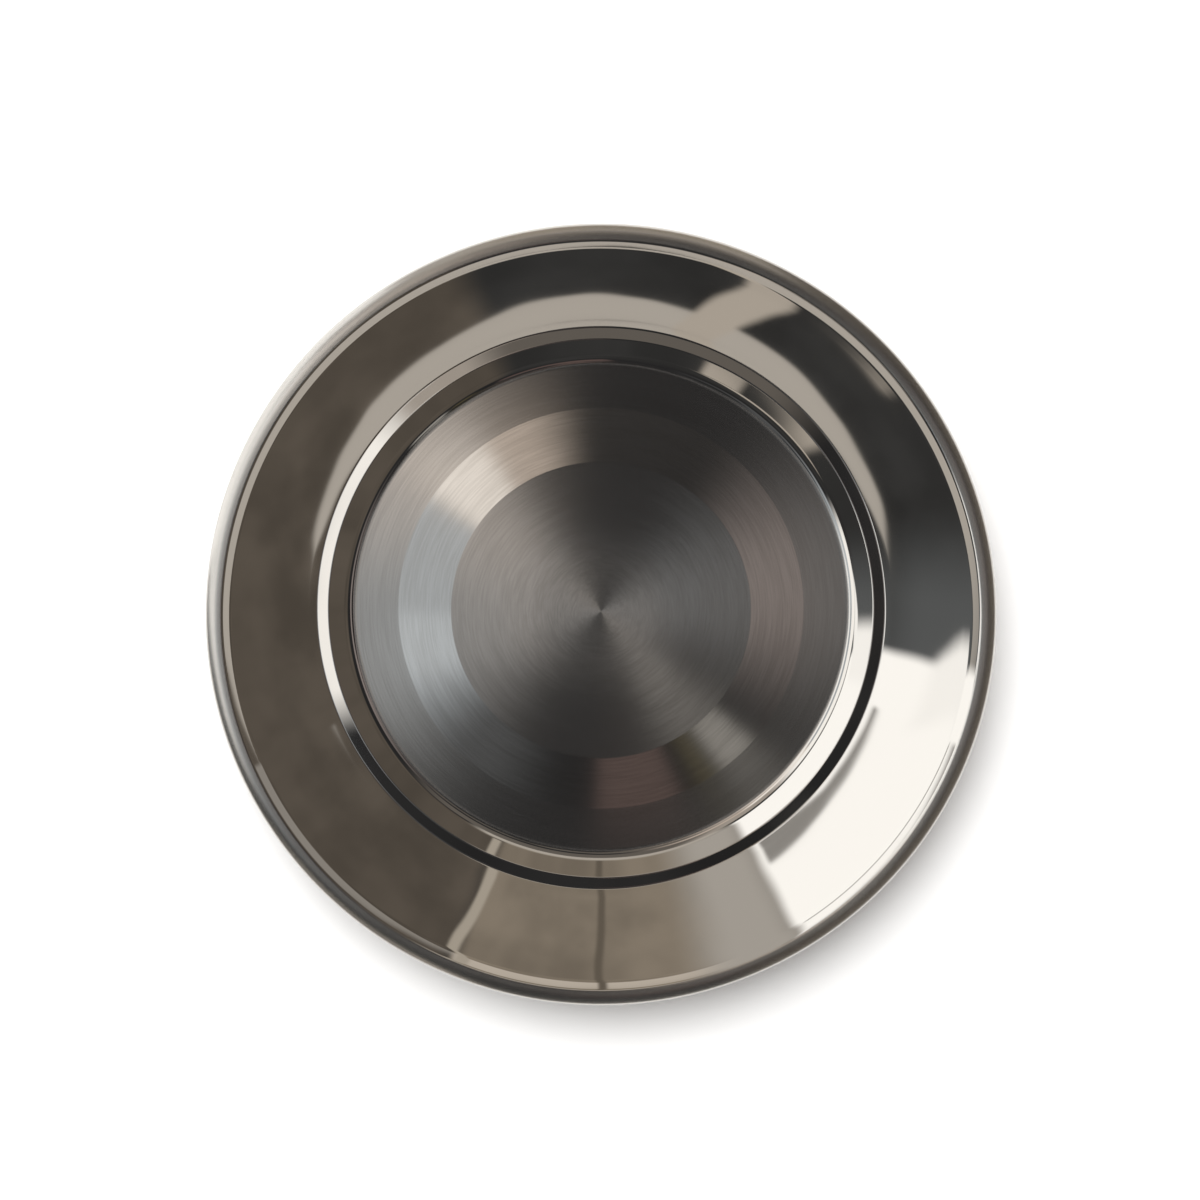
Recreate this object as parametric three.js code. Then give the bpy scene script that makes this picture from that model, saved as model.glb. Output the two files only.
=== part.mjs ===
// A shallow steel pet bowl: one pressed sheet with a raised floor, a flared wall and a rolled rim,
// standing on a non-slip rubber ring that is bonded round its base.
// Millimetres, +Z up. The origin is at the centre of the face that rests on the table.
import * as THREE from "three";

// Overall sizes.
const rimDiameter = 160; // outside of the rolled rim
const bowlHeight = 23.1; // table to the top of the rim
const sheet = 0.8; // thickness of the steel

// Floor: a slightly crowned disc on a steep cone, with a shallow cone from there out to the base corner.
const discRadius = 30.8;
const discCrown = 0.6; // how far the disc's middle stands above its edge
const crownFillet = 300;
const coneRadius = 41.7; // where the steep cone meets the shallow one
const discRise = 1.45; // height of the steep cone
const coneRise = 0.75; // height of the shallow cone
const creaseFillet = 3; // at both edges of the steep cone

// Step: a short sloping band round the floor, with a narrow ledge on top that dips towards the wall.
const baseRadius = 53.9; // where the floor and the step meet
const baseFillet = 6.5;
const stepHeight = 2.85;
const stepLean = 2.7; // how far the step leans out over its height
const stepFillet = 1.3; // between the step and its ledge
const ledgeWidth = 2.3;
const ledgeDip = 0.45;
const ledgeFillet = 0.8; // between the ledge and the wall

// Wall: it flares, steep at the ledge and flatter towards the rim.
const wallBow = 0.75; // how far the wall's middle stands in from a straight line
const wallFillet = 115;

// Rim: the wall steepens into a short flange, which rolls outwards into an open curl.
const curlDiameter = 4.1;
const curlTurn = THREE.MathUtils.degToRad(247.5);
const flangeSlope = THREE.MathUtils.degToRad(43.5);
const flangeWidth = 1.9;
const rootFillet = 4; // between the wall and the flange

// Rubber ring round the base, tucked up under the ledge.
const ringUnder = 4.4; // how far the ring runs in under the floor from the base corner
const ringReach = 0.2; // how far its lip reaches out past the ledge
const ringFoot = 6; // rubber between the steel and the table
const ringDraft = 0.4; // how far the outer face leans in over its height
const ringFootFillet = 1.2;
const ringLip = 0.6; // bevel along the lip
const ringLipFillet = 0.5;
const bondGap = 0.3; // glue line between the rubber and the steel

// Faceting.
const turnSegments = 56;
const arcStep = THREE.MathUtils.degToRad(18);
const curlStep = THREE.MathUtils.degToRad(22.5);
const wallSteps = 4;
const filletShare = 0.95; // most of a side that its two fillets may take up

const corner = (radius, height, fillet = 0, steps = 1) => ({
  at: new THREE.Vector2(radius, height),
  fillet,
  steps,
});

// Points along an arc, both ends included.
function arcPoints(centre, radius, startAngle, turn, steps) {
  return Array.from({ length: steps + 1 }, (_, i) => {
    const angle = startAngle + (turn * i) / steps;
    return new THREE.Vector2(Math.cos(angle), Math.sin(angle)).multiplyScalar(radius).add(centre);
  });
}

// The turn that a chain makes at a corner, positive to the left.
function turnAt(before, at, after) {
  const leave = at.clone().sub(before);
  const onward = after.clone().sub(at);
  return Math.atan2(leave.cross(onward), leave.dot(onward));
}

// One corner of a chain, rounded from a reach before it to the same reach after it.
function roundCorner(before, { at, steps }, after, reach) {
  const turn = turnAt(before, at, after);
  const leave = at.clone().sub(before).normalize();
  const side = new THREE.Vector2(-leave.y, leave.x).multiplyScalar(Math.sign(turn));
  const radius = reach / Math.tan(Math.abs(turn) / 2);
  const centre = at.clone().addScaledVector(leave, -reach).addScaledVector(side, radius);
  const count = Math.max(steps, Math.ceil(Math.abs(turn) / arcStep));
  return arcPoints(centre, radius, Math.atan2(-side.y, -side.x), turn, count);
}

// A chain of corners as points. Fillets that share a side shrink together where it is too short for both.
function roundedChain(corners) {
  const at = corners.map((c) => c.at);
  const full = corners.map(({ fillet }, i) =>
    fillet > 0 ? fillet * Math.tan(Math.abs(turnAt(at[i - 1], at[i], at[i + 1])) / 2) : 0,
  );
  const fits = at.slice(1).map((p, i) =>
    Math.min(1, (filletShare * p.distanceTo(at[i])) / (full[i] + full[i + 1] || 1)),
  );
  return corners.flatMap((c, i) =>
    c.fillet > 0
      ? roundCorner(at[i - 1], c, at[i + 1], full[i] * Math.min(fits[i - 1], fits[i]))
      : [c.at.clone()],
  );
}

// The same line moved to its right by a distance, so that both lines stay parallel.
function offsetLine(points, distance) {
  const directions = points.slice(1).map((p, i) => p.clone().sub(points[i]).normalize());
  return points.map((p, i) => {
    const before = directions[Math.max(i - 1, 0)];
    const after = directions[Math.min(i, directions.length - 1)];
    const mitre = before.clone().add(after).divideScalar(1 + before.dot(after));
    return new THREE.Vector2(mitre.y, -mitre.x).multiplyScalar(distance).add(p);
  });
}

// The stretch of a line that runs outwards, between two radii, with both ends cut there.
function stretchBetween(points, innerRadius, outerRadius) {
  const cut = (radius) => {
    const i = points.findIndex((p, j) => j > 0 && points[j - 1].x < radius && p.x >= radius);
    const share = (radius - points[i - 1].x) / (points[i].x - points[i - 1].x);
    return { i, at: points[i - 1].clone().lerp(points[i], share) };
  };
  const first = cut(innerRadius);
  const last = cut(outerRadius);
  return [first.at, ...points.slice(first.i, last.i), last.at];
}

// A closed outline turned round +Z.
function turned(name, outline, material) {
  const geometry = new THREE.LatheGeometry(outline, turnSegments);
  geometry.rotateX(Math.PI / 2);
  const mesh = new THREE.Mesh(geometry, material);
  mesh.name = name;
  return mesh;
}

// Upper face of the sheet, from the axis out to the start of the curl.
const rimRadius = rimDiameter / 2;
const baseHeight = ringFoot + bondGap + sheet;
const coneHeight = baseHeight + coneRise;
const discHeight = coneHeight + discRise;
const curlRadius = curlDiameter / 2;
const curlCentre = new THREE.Vector2(rimRadius - curlRadius, bowlHeight - curlRadius);
const ledgeInner = new THREE.Vector2(baseRadius + stepLean, baseHeight + stepHeight);
const ledgeOuter = new THREE.Vector2(ledgeInner.x + ledgeWidth, ledgeInner.y - ledgeDip);
const curlStart = new THREE.Vector2(-Math.sin(flangeSlope), Math.cos(flangeSlope))
  .multiplyScalar(curlRadius)
  .add(curlCentre);
const flangeRun = new THREE.Vector2(flangeWidth, flangeWidth * Math.tan(flangeSlope));
const root = curlStart.clone().sub(flangeRun);
const chord = root.clone().sub(ledgeOuter).normalize();
const inward = new THREE.Vector2(-chord.y, chord.x);
const wallMiddle = ledgeOuter.clone().lerp(root, 0.5).addScaledVector(inward, wallBow);

const upperFace = roundedChain([
  corner(0, discHeight + discCrown),
  corner(discRadius / 2, discHeight + discCrown, crownFillet),
  corner(discRadius, discHeight, creaseFillet),
  corner(coneRadius, coneHeight, creaseFillet),
  corner(baseRadius, baseHeight, baseFillet),
  corner(ledgeInner.x, ledgeInner.y, stepFillet),
  corner(ledgeOuter.x, ledgeOuter.y, ledgeFillet),
  corner(wallMiddle.x, wallMiddle.y, wallFillet, wallSteps),
  corner(root.x, root.y, rootFillet),
  corner(curlStart.x, curlStart.y),
]);

// Steel bowl: the upper face runs on over the curl, and the under face comes back one sheet below.
function bowlShell() {
  const steps = Math.round(curlTurn / curlStep);
  const curl = arcPoints(curlCentre, curlRadius, Math.PI / 2 + flangeSlope, -curlTurn, steps);
  const upper = [...upperFace, ...curl.slice(1)];
  const under = offsetLine(upper, sheet);
  const outline = [...under, ...upper.reverse()];
  const steel = new THREE.MeshStandardMaterial({ color: 0x9d9a95, metalness: 1, roughness: 0.22 });
  return turned("bowl_shell", outline, steel);
}

// Rubber ring: its inside follows the steel at the glue line, and its foot is flat.
function baseRing() {
  const glueFace = offsetLine(upperFace, sheet + bondGap);
  const seat = stretchBetween(glueFace, baseRadius - ringUnder, ledgeOuter.x + ringReach);
  const inner = seat[0];
  const lip = seat.at(-1);
  const side = lip.x + ringLip;
  const outside = roundedChain([
    corner(inner.x, inner.y),
    corner(inner.x, 0, ringFootFillet),
    corner(side + ringDraft, 0, ringFootFillet),
    corner(side, lip.y - ringLip, ringLipFillet),
    corner(lip.x, lip.y),
  ]);
  const outline = [...outside, ...seat.reverse().slice(1)];
  const rubber = new THREE.MeshStandardMaterial({ color: 0x232427, metalness: 0, roughness: 0.85 });
  return turned("base_ring", outline, rubber);
}

const bowl = new THREE.Group();
bowl.add(bowlShell(), baseRing());

export default bowl;
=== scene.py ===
import bpy
import math
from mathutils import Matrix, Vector


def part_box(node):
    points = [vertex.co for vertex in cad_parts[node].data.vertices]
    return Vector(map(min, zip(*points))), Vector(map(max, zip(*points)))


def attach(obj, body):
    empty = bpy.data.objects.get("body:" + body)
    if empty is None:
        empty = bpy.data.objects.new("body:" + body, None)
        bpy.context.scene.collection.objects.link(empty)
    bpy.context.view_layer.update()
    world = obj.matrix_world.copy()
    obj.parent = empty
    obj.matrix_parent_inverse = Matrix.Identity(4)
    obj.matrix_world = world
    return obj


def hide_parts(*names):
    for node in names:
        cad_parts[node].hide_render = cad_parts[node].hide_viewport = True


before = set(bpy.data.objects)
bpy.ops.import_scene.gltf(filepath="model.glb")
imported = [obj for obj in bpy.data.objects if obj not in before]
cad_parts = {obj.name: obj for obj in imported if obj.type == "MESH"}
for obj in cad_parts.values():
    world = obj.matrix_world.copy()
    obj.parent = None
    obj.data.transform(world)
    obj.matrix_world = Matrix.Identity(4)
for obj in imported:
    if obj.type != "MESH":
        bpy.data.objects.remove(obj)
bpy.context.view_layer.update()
mm = 0.001

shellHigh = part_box("bowl_shell")[1]
ringLow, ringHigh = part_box("base_ring")
rimRadius = shellHigh[0]
rimTop = shellHigh[2]
print("frame loaded, rim radius", round(rimRadius, 4), "m")


# Node helpers

def addNode(tree, kind, **settings):
    node = tree.nodes.new(kind)
    for key, value in settings.items():
        setattr(node, key, value)
    return node


def feed(tree, socket, value):
    # links a socket, or sets a plain value
    if isinstance(value, bpy.types.NodeSocket):
        tree.links.new(value, socket)
    elif value is not None:
        socket.default_value = value


def mathNode(tree, operation, a, b=None, c=None):
    node = addNode(tree, "ShaderNodeMath", operation=operation)
    for socket, value in zip(node.inputs, (a, b, c)):
        feed(tree, socket, value)
    return node.outputs[0]


def vectorNode(tree, operation, a, b=None, output="Vector"):
    node = addNode(tree, "ShaderNodeVectorMath", operation=operation)
    for socket, value in zip(node.inputs, (a, b)):
        feed(tree, socket, value)
    return node.outputs[output]


def scaled(tree, vector, factor):
    node = addNode(tree, "ShaderNodeVectorMath", operation="SCALE")
    feed(tree, node.inputs[0], vector)
    feed(tree, node.inputs["Scale"], factor)
    return node.outputs["Vector"]


def mixNode(tree, dataType, socketType, factor, a, b):
    node = addNode(tree, "ShaderNodeMix", data_type=dataType)
    feed(tree, node.inputs["Factor"], factor)
    for name, value in (("A", a), ("B", b)):
        feed(tree, next(s for s in node.inputs if s.name == name and s.type == socketType), value)
    return next(s for s in node.outputs if s.type == socketType)


def blend(tree, factor, a, b):
    return mixNode(tree, "FLOAT", "VALUE", factor, a, b)


def mixColour(tree, factor, a, b):
    return mixNode(tree, "RGBA", "RGBA", factor, a, b)


def mapRange(tree, value, low, high, toLow=0.0, toHigh=1.0):
    node = addNode(tree, "ShaderNodeMapRange", interpolation_type="SMOOTHSTEP")
    for socket, item in zip(node.inputs, (value, low, high, toLow, toHigh)):
        feed(tree, socket, item)
    return node.outputs[0]


def noiseNode(tree, place, scale, detail):
    node = addNode(tree, "ShaderNodeTexNoise")
    feed(tree, node.inputs["Vector"], place)
    feed(tree, node.inputs["Scale"], scale)
    feed(tree, node.inputs["Detail"], detail)
    return node


def bumpNode(tree, height, distance):
    node = addNode(tree, "ShaderNodeBump")
    node.inputs["Distance"].default_value = distance
    feed(tree, node.inputs["Height"], height)
    return node.outputs[0]


def newMaterial(name):
    material = bpy.data.materials.new(name)
    material.use_nodes = True
    return material, material.node_tree, material.node_tree.nodes["Principled BSDF"]


def newGroup(name, kind, inputs, outputs):
    tree = bpy.data.node_groups.new(name, kind)
    for socketName, socketType, default in inputs:
        socket = tree.interface.new_socket(socketName, in_out="INPUT", socket_type=socketType)
        if default is not None:
            socket.default_value = default
    for socketName, socketType in outputs:
        tree.interface.new_socket(socketName, in_out="OUTPUT", socket_type=socketType)
    return tree, addNode(tree, "NodeGroupInput"), addNode(tree, "NodeGroupOutput")


def placeGroup(tree, group, **values):
    node = addNode(tree, "ShaderNodeGroup", node_tree=group)
    for key, value in values.items():
        feed(tree, node.inputs[key], value)
    return node


# Turned pieces: an outline of corners, rounded and turned round the axis

def turnAt(before, at, after):
    leave = at - before
    onward = after - at
    return math.atan2(leave.x * onward.y - leave.y * onward.x, leave.dot(onward))


def offsetCorners(corners, distance):
    # moves a chain to its right, with each fillet made larger or smaller to stay parallel
    points = [Vector(c[:2]) for c in corners]
    directions = [(b - a).normalized() for a, b in zip(points, points[1:])]
    moved = []
    for i, (point, corner) in enumerate(zip(points, corners)):
        before = directions[max(i - 1, 0)]
        after = directions[min(i, len(directions) - 1)]
        mitre = (before + after) / (1 + before.dot(after))
        fillet = corner[2]
        if fillet:
            side = 1 if turnAt(points[i - 1], point, points[i + 1]) > 0 else -1
            fillet = max(fillet + side * distance, 0)
        moved.append((point.x + mitre.y * distance, point.y - mitre.x * distance, fillet))
    return moved


def turnTree():
    tree, given, result = newGroup("turned outline", "GeometryNodeTree", [
        ("Geometry", "NodeSocketGeometry", None),
        ("Segments", "NodeSocketInt", 64),
        ("Fillet steps", "NodeSocketInt", 8),
        ("Rail radius", "NodeSocketFloat", 0.02),
        ("Weld", "NodeSocketFloat", 1e-6),
        ("Material", "NodeSocketMaterial", None),
    ], [("Geometry", "NodeSocketGeometry")])
    link = tree.links.new
    outline = addNode(tree, "GeometryNodeMeshToCurve")
    link(given.outputs["Geometry"], outline.inputs["Mesh"])
    radius = addNode(tree, "GeometryNodeInputNamedAttribute", data_type="FLOAT")
    radius.inputs["Name"].default_value = "fillet"
    rounded = addNode(tree, "GeometryNodeFilletCurve", mode="POLY")
    rounded.inputs["Limit Radius"].default_value = True
    link(outline.outputs[0], rounded.inputs["Curve"])
    link(given.outputs["Fillet steps"], rounded.inputs["Count"])
    link(radius.outputs[0], rounded.inputs["Radius"])
    rail = addNode(tree, "GeometryNodeCurvePrimitiveCircle", mode="RADIUS")
    link(given.outputs["Segments"], rail.inputs["Resolution"])
    link(given.outputs["Rail radius"], rail.inputs["Radius"])
    swept = addNode(tree, "GeometryNodeCurveToMesh")
    link(rail.outputs["Curve"], swept.inputs["Curve"])
    link(rounded.outputs[0], swept.inputs["Profile Curve"])
    welded = addNode(tree, "GeometryNodeMergeByDistance")
    link(swept.outputs[0], welded.inputs["Geometry"])
    link(given.outputs["Weld"], welded.inputs["Distance"])
    smooth = addNode(tree, "GeometryNodeSetShadeSmooth")
    link(welded.outputs[0], smooth.inputs["Geometry"])
    real = addNode(tree, "GeometryNodeRealizeInstances")
    link(smooth.outputs[0], real.inputs["Geometry"])
    painted = addNode(tree, "GeometryNodeSetMaterial")
    link(real.outputs[0], painted.inputs["Geometry"])
    link(given.outputs["Material"], painted.inputs["Material"])
    link(painted.outputs[0], result.inputs["Geometry"])
    return tree


def socketKey(tree, name):
    items = tree.interface.items_tree
    return next(i.identifier for i in items if i.name == name and i.in_out == "INPUT")


def turnedPiece(name, tree, corners, closed, settings, material):
    railRadius = 20 * mm
    mesh = bpy.data.meshes.new(name + "_outline")
    count = len(corners)
    edges = [(i, (i + 1) % count) for i in range(count if closed else count - 1)]
    mesh.from_pydata([(r - railRadius, -z, 0) for r, z, _ in corners], edges, [])
    fillets = mesh.attributes.new("fillet", "FLOAT", "POINT")
    fillets.data.foreach_set("value", [c[2] for c in corners])
    outline = bpy.data.objects.new(name + "_outline", mesh)
    bpy.context.scene.collection.objects.link(outline)
    turned = outline.modifiers.new("turn", "NODES")
    turned.node_group = tree
    turned[socketKey(tree, "Segments")] = settings["segments"]
    turned[socketKey(tree, "Fillet steps")] = settings["filletSteps"]
    turned[socketKey(tree, "Rail radius")] = railRadius
    turned[socketKey(tree, "Material")] = material
    graph = bpy.context.evaluated_depsgraph_get()
    solid = bpy.data.meshes.new_from_object(outline.evaluated_get(graph))
    bpy.data.objects.remove(outline)
    solid.name = name
    piece = bpy.data.objects.new(name, solid)
    bpy.context.scene.collection.objects.link(piece)
    print(name, len(solid.vertices), "points,", len(solid.polygons), "faces")
    return piece


# Shared looks

def polarGroup():
    # distance from the axis, and the direction round it as a unit vector
    tree, given, result = newGroup("round the axis", "ShaderNodeTree", [
        ("Place", "NodeSocketVector", None),
    ], [("Radius", "NodeSocketFloat"), ("Around", "NodeSocketVector")])
    flat = vectorNode(tree, "MULTIPLY", given.outputs["Place"], (1, 1, 0))
    feed(tree, result.inputs["Radius"], vectorNode(tree, "LENGTH", flat, output="Value"))
    feed(tree, result.inputs["Around"], vectorNode(tree, "NORMALIZE", flat))
    return tree


def spinGroup(polar):
    # fine lines round the axis, as a turning brush or a spinning lathe leaves them
    tree, given, result = newGroup("spin lines", "ShaderNodeTree", [
        ("Place", "NodeSocketVector", None),
        ("Lines per metre", "NodeSocketFloat", 3000),
        ("Breaks", "NodeSocketFloat", 3),
        ("Detail", "NodeSocketFloat", 2),
    ], [("Value", "NodeSocketFloat")])
    spot = placeGroup(tree, polar, Place=given.outputs["Place"])
    around = scaled(tree, spot.outputs["Around"], given.outputs["Breaks"])
    line = mathNode(tree, "MULTIPLY", spot.outputs["Radius"], given.outputs["Lines per metre"])
    outward = addNode(tree, "ShaderNodeCombineXYZ")
    feed(tree, outward.inputs["Z"], line)
    spread = vectorNode(tree, "ADD", around, outward.outputs[0])
    noise = noiseNode(tree, spread, 1, given.outputs["Detail"])
    feed(tree, result.inputs["Value"], noise.outputs[0])
    return tree


# Bowl: one pressed sheet, metres. The rim's radius and height come from the frame.
bowl = {
    "sheet": 0.8 * mm,
    "discRadius": 30.8 * mm,
    "discHeight": 9.5 * mm,
    "crown": 0.6 * mm,  # rise of the disc towards its middle
    "crownFillet": 300 * mm,
    "coneRadius": 41.7 * mm,
    "coneHeight": 8.05 * mm,
    "creaseFillet": 1.2 * mm,
    "baseRadius": 51.7 * mm,
    "baseHeight": 7.3 * mm,
    "baseFillet": 4.5 * mm,
    "ledgeInner": 55.9 * mm,
    "ledgeHeight": 9.95 * mm,
    "stepFillet": 0.5 * mm,
    "ledgeOuter": 58.4 * mm,
    "ledgeDip": 0.52 * mm,
    "ledgeFillet": 0.5 * mm,
    "wallBow": 0.75 * mm,
    "wallFillet": 115 * mm,
    "flangeSlope": math.radians(43.5),  # short flange between the wall and the curl
    "flangeWidth": 1.6 * mm,
    "rootFillet": 4 * mm,
    "curlDiameter": 4.1 * mm,
    "rollWidth": 3.35 * mm,  # from the flange to the outside
    "browFillet": 1 * mm,
    "crestFillet": 4 * mm,  # the roll is a little flattened on top
    "crestWidth": 1.5 * mm,
    "crestDrop": 0.87 * mm,
    "outerFillet": 1.1 * mm,
    "curlPast": math.radians(24),  # how far the curl rolls on past its lowest point
    "satinRadius": 51.4 * mm,  # outer edge of the brushed floor
    "satinFade": 0.5 * mm,
    "segments": 320,
    "filletSteps": 10,
}


def bowlCorners():
    # upper face from the axis to the end of the curl: radius, height, fillet
    curl = bowl["curlDiameter"] / 2
    slope = bowl["flangeSlope"]
    brow = Vector((rimRadius - bowl["rollWidth"], rimTop))
    root = brow - Vector((1, math.tan(slope))) * bowl["flangeWidth"]
    ledge = Vector((bowl["ledgeOuter"], bowl["ledgeHeight"] - bowl["ledgeDip"]))
    chord = (root - ledge).normalized()
    middle = (root + ledge) / 2 + Vector((-chord.y, chord.x)) * bowl["wallBow"]
    low = rimTop - bowl["curlDiameter"]
    past = bowl["curlPast"]
    reach = curl * math.tan(past / 2)
    turnIn = Vector((rimRadius - curl - reach, low))
    end = turnIn + Vector((-math.cos(past), math.sin(past))) * reach
    crownHeight = bowl["discHeight"] + bowl["crown"]
    return [
        (0, crownHeight, 0),
        (bowl["discRadius"] / 2, crownHeight, bowl["crownFillet"]),
        (bowl["discRadius"], bowl["discHeight"], bowl["creaseFillet"]),
        (bowl["coneRadius"], bowl["coneHeight"], bowl["creaseFillet"]),
        (bowl["baseRadius"], bowl["baseHeight"], bowl["baseFillet"]),
        (bowl["ledgeInner"], bowl["ledgeHeight"], bowl["stepFillet"]),
        (ledge.x, ledge.y, bowl["ledgeFillet"]),
        (middle.x, middle.y, bowl["wallFillet"]),
        (root.x, root.y, bowl["rootFillet"]),
        (brow.x, brow.y, bowl["browFillet"]),
        (rimRadius - bowl["crestWidth"], rimTop, bowl["crestFillet"]),
        (rimRadius, rimTop - bowl["crestDrop"], bowl["outerFillet"]),
        (rimRadius, low, curl),
        (turnIn.x, turnIn.y, curl),
        (end.x, end.y, 0),
    ]


steelLook = {
    "colour": (0.64, 0.62, 0.59, 1),
    "darker": (0.56, 0.54, 0.51, 1),
    "polished": 0.035,  # roughness of the wall
    "polishSpread": 0.02,
    "satin": 0.11,  # roughness of the brushed floor
    "brushSpread": 0.04,
    "rolled": 0.25,  # roughness of the rolled rim
    "rolledWidth": 3.2 * mm,
    "rolledFade": 0.6 * mm,
    "anisotropy": 0.8,
    "fineLines": {"Lines per metre": 3200, "Breaks": 4, "Detail": 3},
    "wideLines": {"Lines per metre": 500, "Breaks": 2, "Detail": 4},
    "fineShare": 0.6,
    "toneRange": (0.35, 0.65),
    "lineDepth": 0.0006 * mm,
    "waveSize": 55,  # slow waves in the polish, per metre
    "waveDepth": 0.08 * mm,
}


def steelMaterial(polar, spin):
    steel, tree, shader = newMaterial("pressed steel")
    place = addNode(tree, "ShaderNodeTexCoord").outputs["Object"]
    radius = placeGroup(tree, polar, Place=place).outputs["Radius"]
    satinEdge = bowl["satinRadius"]
    satin = mapRange(tree, radius, satinEdge, satinEdge - bowl["satinFade"])
    rolledEdge = rimRadius - steelLook["rolledWidth"]
    fade = steelLook["rolledFade"] / 2
    rolled = mapRange(tree, radius, rolledEdge - fade, rolledEdge + fade)

    fine = placeGroup(tree, spin, Place=place, **steelLook["fineLines"]).outputs[0]
    wide = placeGroup(tree, spin, Place=place, **steelLook["wideLines"]).outputs[0]
    lines = blend(tree, steelLook["fineShare"], wide, fine)
    tone = mathNode(tree, "MULTIPLY", mapRange(tree, lines, *steelLook["toneRange"]), satin)
    colour = mixColour(tree, tone, steelLook["colour"], steelLook["darker"])
    feed(tree, shader.inputs["Base Color"], colour)
    shader.inputs["Metallic"].default_value = 1

    brushed = mathNode(tree, "MULTIPLY_ADD", lines, steelLook["brushSpread"], steelLook["satin"])
    polished = mathNode(tree, "MULTIPLY_ADD", wide, steelLook["polishSpread"], steelLook["polished"])
    polished = blend(tree, rolled, polished, steelLook["rolled"])
    feed(tree, shader.inputs["Roughness"], blend(tree, satin, polished, brushed))
    shader.inputs["Anisotropic"].default_value = steelLook["anisotropy"]
    shader.inputs["Anisotropic Rotation"].default_value = 0.25  # highlights spread across the lines
    tangent = addNode(tree, "ShaderNodeTangent", direction_type="RADIAL", axis="Z")
    feed(tree, shader.inputs["Tangent"], tangent.outputs[0])

    waves = noiseNode(tree, place, steelLook["waveSize"], 1).outputs[0]
    slow = mathNode(tree, "MULTIPLY", waves, steelLook["waveDepth"])
    grooves = mathNode(tree, "MULTIPLY", lines, steelLook["lineDepth"])
    height = blend(tree, satin, slow, grooves)
    feed(tree, shader.inputs["Normal"], bumpNode(tree, height, 1))
    return steel


# Rubber ring round the base, metres. Its outside comes from the frame.
ring = {
    "innerRadius": 49.5 * mm,
    "draft": 0.4 * mm,
    "bevel": 0.6 * mm,
    "footFillet": 1.2 * mm,
    "lipFillet": 0.5 * mm,
    "glueLine": 0.3 * mm,
    "segments": 192,
    "filletSteps": 8,
}


def ringCorners(upper):
    # the inside follows the under face of the sheet
    seat = offsetCorners(upper, bowl["sheet"] + ring["glueLine"])
    cone, base, step, ledge = (Vector(c[:2]) for c in seat[3:7])
    inner = cone.lerp(base, (ring["innerRadius"] - cone.x) / (base.x - cone.x))
    side = ringHigh[0] - ring["draft"]
    lipRadius = side - ring["bevel"]
    lip = step.lerp(ledge, (lipRadius - step.x) / (ledge.x - step.x))
    return [
        (inner.x, inner.y, 0),
        (inner.x, ringLow[2], ring["footFillet"]),
        (ringHigh[0], ringLow[2], ring["footFillet"]),
        (side, lip.y - ring["bevel"], ring["lipFillet"]),
        (lip.x, lip.y, 0),
        (step.x, step.y, seat[5][2]),
        (base.x, base.y, seat[4][2]),
    ]


rubberLook = {
    "darkest": (0.026, 0.026, 0.028, 1),
    "lightest": (0.045, 0.045, 0.048, 1),
    "roughness": (0.6, 0.8),
    "grainSize": 2500,  # per metre
    "grainRange": (0.3, 0.7),
    "grainDepth": 0.02 * mm,
}


def rubberMaterial():
    rubber, tree, shader = newMaterial("base rubber")
    place = addNode(tree, "ShaderNodeTexCoord").outputs["Object"]
    grain = noiseNode(tree, place, rubberLook["grainSize"], 2).outputs[0]
    colour = mixColour(tree, grain, rubberLook["darkest"], rubberLook["lightest"])
    feed(tree, shader.inputs["Base Color"], colour)
    roughness = mapRange(tree, grain, *rubberLook["grainRange"], *rubberLook["roughness"])
    feed(tree, shader.inputs["Roughness"], roughness)
    feed(tree, shader.inputs["Normal"], bumpNode(tree, grain, rubberLook["grainDepth"]))
    return rubber


turning = turnTree()
polar = polarGroup()
steel = steelMaterial(polar, spinGroup(polar))
upper = bowlCorners()
under = offsetCorners(upper, bowl["sheet"])
outline = upper + under[::-1]
outline[-1] = (0, outline[-1][1], 0)  # the under face ends on the axis
shell = turnedPiece("bowl_sheet", turning, outline, False, bowl, steel)
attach(shell, "root")
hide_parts("bowl_shell")

foot = turnedPiece("rubber_ring", turning, ringCorners(upper), True, ring, rubberMaterial())
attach(foot, "root")
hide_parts("base_ring")
print("bowl and ring made")

# Camera: nearly straight down, leaning a little towards +Y
camera = {
    "distance": 800 * mm,  # to the rim's plane
    "lean": math.radians(8.5),
    "pixelsPerMetre": 4955,  # at the rim's plane
    "imagePixels": 1200,
    "rimCentre": (601.0, 621.3),  # where the rim's middle sits in the photograph
    "sensor": 36,
    "farthest": 100,
}


def makeCamera():
    distance = camera["distance"]
    lean = camera["lean"]
    scale = camera["pixelsPerMetre"]
    data = bpy.data.cameras.new("camera")
    data.sensor_width = camera["sensor"]
    data.lens = scale * distance / camera["imagePixels"] * camera["sensor"]
    data.clip_end = camera["farthest"]
    eye = bpy.data.objects.new("camera", data)
    bpy.context.scene.collection.objects.link(eye)
    half = camera["imagePixels"] / 2
    aside = (half - camera["rimCentre"][0]) / scale
    along = (camera["rimCentre"][1] - half) / scale
    aim = Vector((aside, along, rimTop))
    eye.location = aim + distance * Vector((0, math.sin(lean), math.cos(lean)))
    eye.rotation_euler = (-lean, 0, 0)
    bpy.context.scene.camera = eye


makeCamera()

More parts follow.
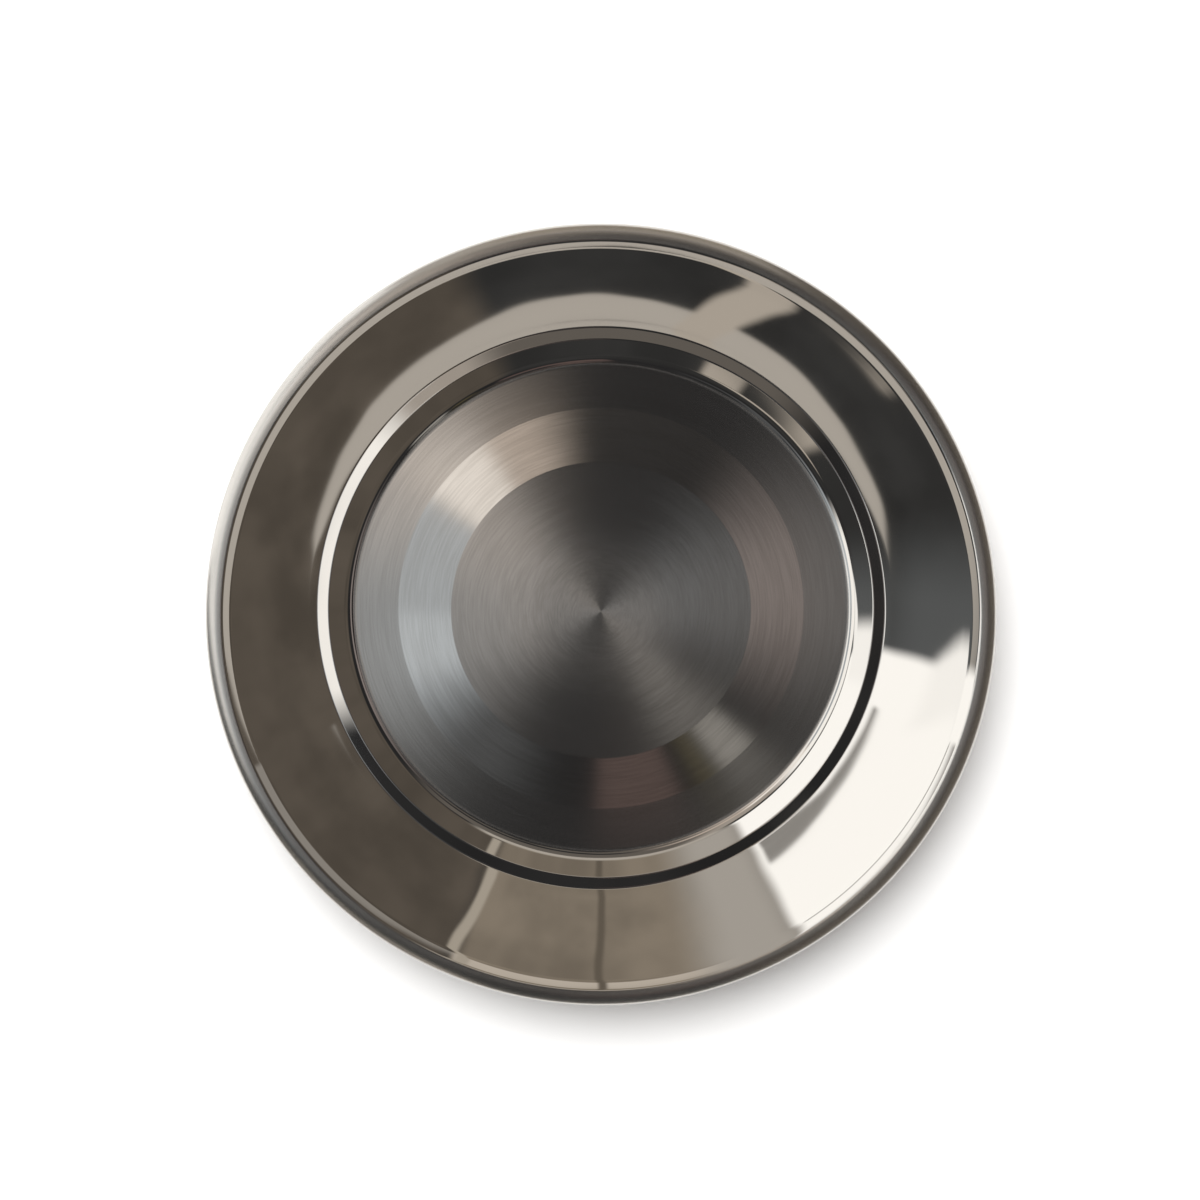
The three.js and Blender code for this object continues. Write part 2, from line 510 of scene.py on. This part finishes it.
# Studio: a pale floor, one large soft lamp and a world of soft panels in a dim room
studio = {
    "floorColour": (0.92, 0.92, 0.92, 1),
    "floorRadius": 40,
    "floorSides": 64,
    "floorDrop": 0.05 * mm,
    "floorLift": 0.12,  # glow that the camera and reflections see, for a white ground
    "lampAzimuth": math.radians(102),
    "lampRise": math.radians(64),
    "lampDistance": 2,
    "lampSize": 1.2,
    "lampPower": 44,
    "room": (0.03, 0.03, 0.031, 1),
    "warpScale": 4,  # the panels' edges are a little uneven
    "warpDetail": 0.5,
    "warp": 0.035,
    "cloudScale": 4,
    "cloudDetail": 3,
    "cloudRange": (0.3, 0.7),
    "cloud": 0.4,
    # Panels: middle azimuth, half width, lowest, highest, soft edge in degrees,
    # then slant, tilt, strength and colour. Each lies over those before it.
    "cloudy": [
        (235, 62, -10, 52, 8, 0, 0, 0.045, (1, 1, 1)),
        (355, 67, -10, 52, 6, 0, 0, 0.125, (1, 0.85, 0.7)),
        (91, 28, -10, 48, 3, 0, 0, 0.29, (1, 0.85, 0.68)),
    ],
    "roundAbout": [
        (270, 200, -5, 12, 1.2, 0, 0, 0.6, (1, 0.93, 0.84)),
        (62, 47, -5, 17.5, 1.2, 0, 0, 0.36, (1, 0.93, 0.85)),
        (251, 3.5, 4, 24, 2, -0.45, 0, 0.6, (1, 0.9, 0.78)),
        (236, 13, 25.5, 33, 3, -0.8, 0, 0.6, (1, 0.9, 0.78)),
        (91, 28, -10, 19.5, 2, 0, 0, 0.7, (1, 0.9, 0.78)),
        (65, 1.2, -10, 42, 1, -0.15, 0, 0.55, (1, 0.9, 0.76)),
        (90, 0.8, -10, 48, 1, 0, 0, 0.17, (1, 0.85, 0.68)),
        (90, 36, 46, 66, 8, 0, 0, 0.6, (1, 0.92, 0.82)),
        (120, 10, -10, 48, 14, 0, 0, 0.55, (1, 0.94, 0.86)),
        (186, 14, 13, 48, 18, 0, 0, 0.14, (0.95, 1, 1.03)),
        (154.5, 27, -10, 48, 3, 0, 0, 1.5, (1, 0.99, 0.97)),
        (185, 7, 26, 48, 5, 0.9, 0, 1.4, (1, 0.99, 0.97)),
        (149, 20, 16.5, 21, 1.5, 0, -0.184, 0.36, (1, 0.96, 0.91)),
    ],
    # Overhead panels are counted from the pole that the bowl's floor mirrors to the camera.
    "overheadEdge": 3,
    "overhead": [
        # seen in the ledge
        (80, 36, 50, 67, 20, 0, 0, 0.17, (1, 0.9, 0.8)),
        (128, 14, 50, 67, 14, 0, 0, 0.5, (1, 0.9, 0.8)),
        (172, 33, 50, 67, 12, 0, 0, 1.4, (1, 0.98, 0.95)),
        # in the disc
        (176, 44, 82.5, 95, 60, 0, 0, 0.5, (1, 0.95, 0.92)),
        (14, 28, 82.5, 92, 40, 0, 0, 0.2, (0.97, 1, 1.04)),
        (307, 13, 82.5, 92, 14, 0, 0, 0.34, (1, 0.95, 0.9)),
        # in the shallow cone
        (185, 35, 77, 82.5, 44, 0, 0, 0.36, (0.97, 1, 1.02)),
        (146, 20, 77, 82.5, 34, 0, 0, 0.78, (1, 0.9, 0.82)),
        (2, 24, 77, 82.5, 44, 0, 0, 0.18, (1, 0.99, 0.98)),
        # in the steep cone
        (224, 20, 67, 77, 30, 0, 0, 0.12, (0.97, 1, 1.04)),
        (187, 25, 67, 77, 30, 0, 0, 0.74, (0.92, 1, 1.07)),
        (133, 30, 67, 77, 22, 0, 0, 0.72, (1, 0.85, 0.73)),
        (137, 10, 67, 77, 6, 0, 0, 1.3, (1, 0.94, 0.88)),
        (165, 17, 67, 77, 4, 0, 0, 0.57, (0.92, 1, 1.07)),
        (7, 28, 67, 77, 46, 0, 0, 0.34, (1, 0.87, 0.83)),
        (280, 11.5, 67, 77, 3, 0, 0, 0.15, (1, 0.72, 0.66)),
        (300, 3, 67, 77, 3, 0, 0, 0.1, (1, 0.85, 0.5)),
        (311, 6, 67, 77, 3, 0, 0, 0.42, (1, 0.96, 0.9)),
    ],
}


def panelGroup():
    # one soft-edged patch of the sky
    tree, given, result = newGroup("soft panel", "ShaderNodeTree", [
        ("Direction", "NodeSocketVector", None),
        ("Azimuth", "NodeSocketFloat", 0),
        ("Half width", "NodeSocketFloat", 0.5),
        ("Lowest", "NodeSocketFloat", 0),
        ("Highest", "NodeSocketFloat", 1),
        ("Soft sides", "NodeSocketFloat", 0.1),
        ("Soft ends", "NodeSocketFloat", 0.1),
        ("Slant", "NodeSocketFloat", 0),
        ("Tilt", "NodeSocketFloat", 0),
    ], [("Mask", "NodeSocketFloat")])

    def times(a, b):
        return mathNode(tree, "MULTIPLY", a, b)

    def minus(a, b):
        return mathNode(tree, "SUBTRACT", a, b)

    def inside(far, near, soft):
        share = mathNode(tree, "DIVIDE", minus(far, near), given.outputs[soft])
        return mapRange(tree, share, -0.5, 0.5)

    parts = addNode(tree, "ShaderNodeSeparateXYZ")
    feed(tree, parts.inputs[0], given.outputs["Direction"])
    x, y, z = parts.outputs
    cosine = mathNode(tree, "COSINE", given.outputs["Azimuth"])
    sine = mathNode(tree, "SINE", given.outputs["Azimuth"])
    along = mathNode(tree, "ADD", times(x, cosine), times(y, sine))
    across = minus(times(y, cosine), times(x, sine))
    turn = mathNode(tree, "ARCTAN2", across, along)
    rise = mathNode(tree, "ARCSINE", z)
    low = given.outputs["Lowest"]
    high = given.outputs["Highest"]
    centre = times(mathNode(tree, "ADD", low, high), 0.5)
    lean = times(minus(rise, centre), given.outputs["Slant"])
    aside = mathNode(tree, "ABSOLUTE", minus(turn, lean))
    level = minus(rise, times(turn, given.outputs["Tilt"]))
    sides = inside(given.outputs["Half width"], aside, "Soft sides")
    top = inside(high, level, "Soft ends")
    bottom = inside(level, low, "Soft ends")
    feed(tree, result.inputs["Mask"], times(times(sides, top), bottom))
    return tree


def layPanels(tree, panel, direction, panels, light, softEnds=None):
    for azimuth, halfWidth, lowest, highest, soft, slant, tilt, strength, colour in panels:
        mask = placeGroup(tree, panel, **{
            "Direction": direction,
            "Azimuth": math.radians(azimuth),
            "Half width": math.radians(halfWidth),
            "Lowest": math.radians(lowest),
            "Highest": math.radians(highest),
            "Soft sides": math.radians(soft),
            "Soft ends": math.radians(softEnds or soft),
            "Slant": slant,
            "Tilt": tilt,
        }).outputs[0]
        light = mixColour(tree, mask, light, tuple(c * strength for c in colour) + (1,))
    return light


def makeWorld():
    world = bpy.data.worlds.new("studio")
    bpy.context.scene.world = world
    world.use_nodes = True
    tree = world.node_tree
    straight = addNode(tree, "ShaderNodeTexCoord").outputs["Generated"]
    warp = noiseNode(tree, straight, studio["warpScale"], studio["warpDetail"])
    shift = vectorNode(tree, "SUBTRACT", warp.outputs["Color"], (0.5, 0.5, 0.5))
    bent = vectorNode(tree, "ADD", straight, scaled(tree, shift, studio["warp"]))
    direction = vectorNode(tree, "NORMALIZE", bent)
    tipped = addNode(tree, "ShaderNodeVectorRotate", rotation_type="X_AXIS")
    feed(tree, tipped.inputs["Vector"], direction)
    tipped.inputs["Angle"].default_value = -camera["lean"]
    panel = panelGroup()

    clouds = noiseNode(tree, direction, studio["cloudScale"], studio["cloudDetail"]).outputs[0]
    half = studio["cloud"] / 2
    shade = mapRange(tree, clouds, *studio["cloudRange"], 1 - half, 1 + half)
    light = layPanels(tree, panel, direction, studio["cloudy"], studio["room"])
    light = scaled(tree, light, shade)
    light = layPanels(tree, panel, direction, studio["roundAbout"], light)
    overhead = tipped.outputs[0]
    light = layPanels(tree, panel, overhead, studio["overhead"], light, studio["overheadEdge"])
    feed(tree, tree.nodes["Background"].inputs["Color"], light)


def makeLamp():
    data = bpy.data.lights.new("soft lamp", "AREA")
    data.shape = "DISK"
    data.size = studio["lampSize"]
    data.energy = studio["lampPower"]
    lamp = bpy.data.objects.new("soft lamp", data)
    bpy.context.scene.collection.objects.link(lamp)
    azimuth = studio["lampAzimuth"]
    rise = studio["lampRise"]
    flat = math.cos(rise)
    away = Vector((math.cos(azimuth) * flat, math.sin(azimuth) * flat, math.sin(rise)))
    lamp.location = away * studio["lampDistance"]
    lamp.rotation_euler = away.to_track_quat("Z", "Y").to_euler()
    lamp.visible_glossy = False  # the panels make the reflections


def makeFloor():
    count = studio["floorSides"]
    reach = studio["floorRadius"]
    turns = [2 * math.pi * i / count for i in range(count)]
    edge = [(reach * math.cos(turn), reach * math.sin(turn), -studio["floorDrop"]) for turn in turns]
    mesh = bpy.data.meshes.new("floor")
    mesh.from_pydata(edge, [], [tuple(range(count))])
    floor = bpy.data.objects.new("floor", mesh)
    bpy.context.scene.collection.objects.link(floor)
    paint, tree, shader = newMaterial("pale floor")
    shader.inputs["Base Color"].default_value = studio["floorColour"]
    shader.inputs["Roughness"].default_value = 0.9
    shader.inputs["Specular IOR Level"].default_value = 0.1
    shader.inputs["Emission Color"].default_value = (1, 1, 1, 1)
    path = addNode(tree, "ShaderNodeLightPath").outputs
    seen = mathNode(tree, "MAXIMUM", path["Is Camera Ray"], path["Is Glossy Ray"])
    seen = mathNode(tree, "MAXIMUM", seen, path["Is Transmission Ray"])
    glow = mathNode(tree, "MULTIPLY", seen, studio["floorLift"])
    feed(tree, shader.inputs["Emission Strength"], glow)
    mesh.materials.append(paint)


makeWorld()
makeLamp()
makeFloor()
bpy.context.scene.view_settings.view_transform = "Standard"
print("studio made")
